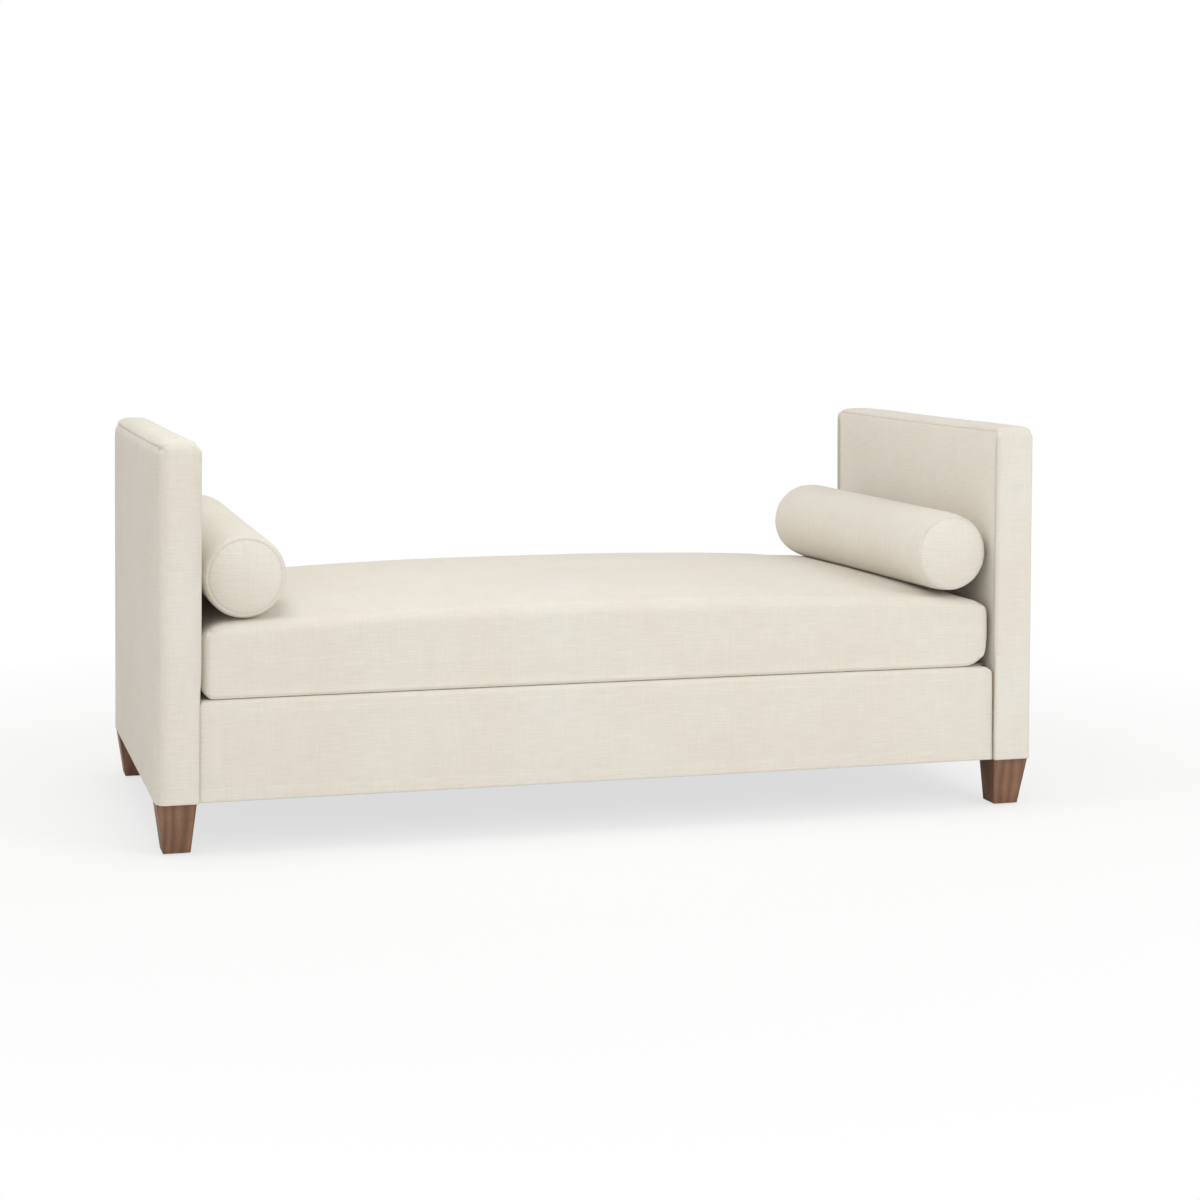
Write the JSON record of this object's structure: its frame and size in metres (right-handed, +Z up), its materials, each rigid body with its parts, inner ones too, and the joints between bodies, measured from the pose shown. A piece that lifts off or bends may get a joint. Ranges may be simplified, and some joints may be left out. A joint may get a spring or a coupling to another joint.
{
  "type": "backless divan",
  "caption": "Backless upholstered divan with equal slab arms, a loose crowned seat cushion, round bolsters at the arms and tapered wooden legs.",
  "frame": {"origin": "on the floor under the middle of the divan", "axes": "+X along the width to the sitter's left, -Y the front, +Z up"},
  "size_m": [1.83, 0.9, 0.795],
  "materials": {
    "linen": "matte",
    "walnut": "satin",
    "timber": "matte",
    "hardboard": "matte",
    "foam": "matte",
    "felt": "matte",
    "lining": "matte",
    "cambric": "matte",
    "zip": "matte",
    "spring_steel": "satin",
    "zinc_steel": "satin",
    "brass": "satin",
    "nylon": "matte"
  },
  "bodies": {
    "base": {"front_left_leg": "walnut", "front_right_leg": "walnut", "rear_left_leg": "walnut", "rear_right_leg": "walnut", "foot_glides": "nylon", "leg_bolts": "zinc_steel", "leg_inserts": "brass", "left_arm_bottom_rail": "timber", "right_arm_bottom_rail": "timber", "left_arm_front_post": "timber", "right_arm_front_post": "timber", "left_arm_rear_post": "timber", "right_arm_rear_post": "timber", "left_arm_middle_rail": "timber", "right_arm_middle_rail": "timber", "left_arm_top_rail": "timber", "right_arm_top_rail": "timber", "left_arm_mounting_board": "timber", "right_arm_mounting_board": "timber", "left_arm_outer_panel": "hardboard", "right_arm_outer_panel": "hardboard", "left_arm_inner_panel": "hardboard", "right_arm_inner_panel": "hardboard", "left_arm_padding": "foam", "right_arm_padding": "foam", "left_arm_cover": "linen", "right_arm_cover": "linen", "frame_dowels": "timber", "front_seat_rail": "timber", "rear_seat_rail": "timber", "left_end_rail": "timber", "right_end_rail": "timber", "cross_rails": "timber", "front_spring_ledger": "timber", "rear_spring_ledger": "timber", "corner_blocks": "timber", "corner_block_screws": "zinc_steel", "frame_bolts": "zinc_steel", "frame_bolt_inserts": "brass", "sinuous_springs": "spring_steel", "spring_clips": "zinc_steel", "stay_wires": "spring_steel", "spring_insulator": "felt", "deck_padding": "foam", "deck_cover": "lining", "dust_cover": "cambric", "front_rail_padding": "foam", "rear_rail_padding": "foam", "front_rail_cover": "linen", "rear_rail_cover": "linen"},
    "seat_cushion": {"seat_cushion_cover": "linen", "seat_cushion_core": "foam", "seat_cushion_zip": "zip"},
    "left_bolster": {"left_bolster_cover": "linen", "left_bolster_core": "foam", "left_bolster_end_caps": "linen"},
    "right_bolster": {"right_bolster_cover": "linen", "right_bolster_core": "foam", "right_bolster_end_caps": "linen"}
  },
  "joints": [
    {"name": "seat_cushion_lift", "type": "slide", "parent": "base", "child": "seat_cushion", "axis": [0, 0, 1], "range_m": [0, 0.52]},
    {"name": "left_bolster_lift", "type": "slide", "parent": "seat_cushion", "child": "left_bolster", "axis": [0, 0, 1], "range_m": [0, 0.36]},
    {"name": "right_bolster_lift", "type": "slide", "parent": "seat_cushion", "child": "right_bolster", "axis": [0, 0, 1], "range_m": [0, 0.36]}
  ]
}
